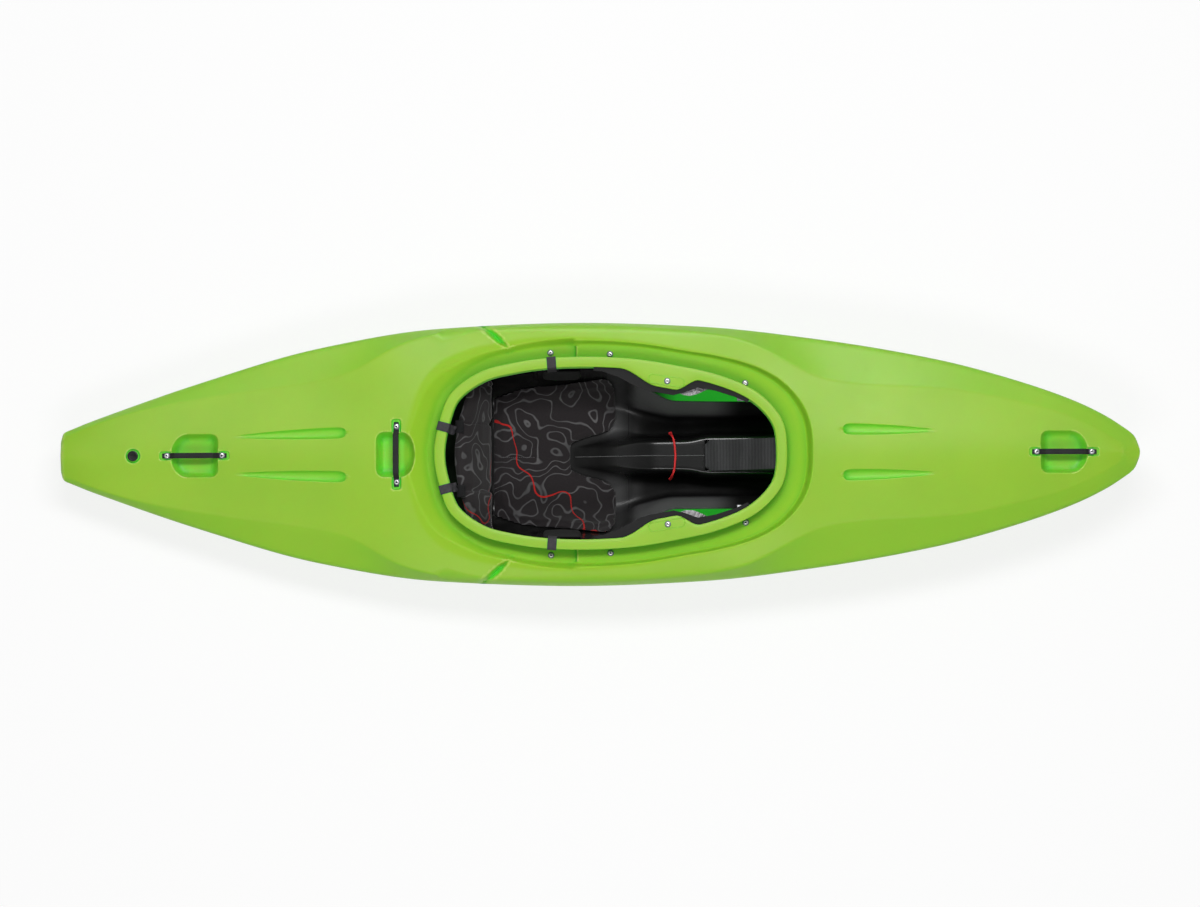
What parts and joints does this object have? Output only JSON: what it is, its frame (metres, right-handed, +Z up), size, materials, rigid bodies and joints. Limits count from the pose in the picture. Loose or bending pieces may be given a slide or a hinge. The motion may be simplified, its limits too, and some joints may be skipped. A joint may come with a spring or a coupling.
{
  "type": "whitewater kayak",
  "caption": "One-person river-running kayak: hollow plastic hull with a sunken cockpit rim, padded seat, back band, thigh braces, footrest, grab handles and drain plug.",
  "frame": {"origin": "on the floor, under the middle of the hull's length and beam", "axes": "+X to the bow, +Y to the paddler's left, +Z up"},
  "size_m": [2.59, 0.632, 0.305],
  "materials": {
    "hull": "satin moulded polyethylene",
    "moulding": "glossy black moulding",
    "fabric": "printed woven cover over foam",
    "foam": "closed-cell foam",
    "webbing": "woven webbing",
    "pale_webbing": "worn pale webbing",
    "rubber": "matte",
    "cord": "braided cord",
    "steel": "stainless",
    "aluminium": "satin"
  },
  "bodies": {
    "boat": {"hull_shell": "hull", "seat_tray": "moulding", "thigh_brace_left": "moulding", "thigh_brace_right": "moulding", "foot_rail_mount_left": "moulding", "foot_rail_mount_right": "moulding", "ratchet_base_left": "moulding", "ratchet_base_right": "moulding", "seat_pad": "fabric", "front_pillar": "foam", "rear_pillar": "foam", "hip_pad_left": "foam", "hip_pad_right": "foam", "thigh_pad_left": "foam", "thigh_pad_right": "foam", "back_band_webbing_left": "webbing", "back_band_webbing_right": "webbing", "hip_strap_left": "webbing", "hip_strap_right": "webbing", "thigh_strap_left": "pale_webbing", "thigh_strap_right": "pale_webbing", "bow_handle": "rubber", "stern_handle": "rubber", "rear_deck_handle": "rubber", "drain_fitting": "rubber", "safety_cord": "cord", "bow_handle_screw_a": "steel", "bow_handle_screw_b": "steel", "stern_handle_screw_a": "steel", "stern_handle_screw_b": "steel", "rear_deck_handle_screw_a": "steel", "rear_deck_handle_screw_b": "steel", "seat_screw_left": "steel", "seat_screw_right": "steel", "thigh_screw_rear_left": "steel", "thigh_screw_rear_right": "steel", "thigh_screw_middle_left": "steel", "thigh_screw_middle_right": "steel", "thigh_screw_front_left": "steel", "thigh_screw_front_right": "steel", "foot_rail_left": "aluminium", "foot_rail_right": "aluminium"},
    "back_band": {"back_band_pad": "fabric", "back_band_shell": "moulding", "back_band_buckle_left": "rubber", "back_band_buckle_right": "rubber", "ladder_strap_left": "moulding", "ladder_strap_right": "moulding"},
    "lever_left": {"ratchet_lever_left": "aluminium"},
    "lever_right": {"ratchet_lever_right": "aluminium"},
    "footrest": {"foot_plate": "moulding", "foot_plate_pad": "foam"},
    "drain_seal": {"drain_gasket": "rubber"},
    "drain_cap": {"drain_plug": "rubber"}
  },
  "joints": [
    {"name": "back_band_tension", "type": "slide", "parent": "boat", "child": "back_band", "axis": [1, 0, 0], "range_m": [0, 0.06]},
    {"name": "lever_left_lift", "type": "hinge", "parent": "boat", "child": "lever_left", "pos_m": [-0.05405, 0.22256, 0.15], "axis": [0, 0, 1], "range_deg": [-50, 0], "stiffness_Nm_per_rad": 0.05},
    {"name": "lever_right_lift", "type": "hinge", "parent": "boat", "child": "lever_right", "pos_m": [-0.05405, -0.22256, 0.15], "axis": [0, 0, 1], "range_deg": [0, 50], "stiffness_Nm_per_rad": 0.05},
    {"name": "footrest_slide", "type": "slide", "parent": "boat", "child": "footrest", "axis": [1, 0, 0], "range_m": [-0.09, 0.09]},
    {"name": "drain_plug_lift", "type": "slide", "parent": "boat", "child": "drain_seal", "axis": [-0.0591, 0, 0.9983], "range_m": [0, 0.009]},
    {"name": "drain_plug_turn", "type": "hinge", "parent": "drain_seal", "child": "drain_cap", "pos_m": [-1.1194, 0, 0.18915], "axis": [-0.0591, 0, 0.9983], "range_deg": [0, 1082]}
  ],
  "couplings": [
    {"joint": "drain_plug_turn", "follows": "drain_plug_lift", "rad_per_m": 2094.4}
  ]
}
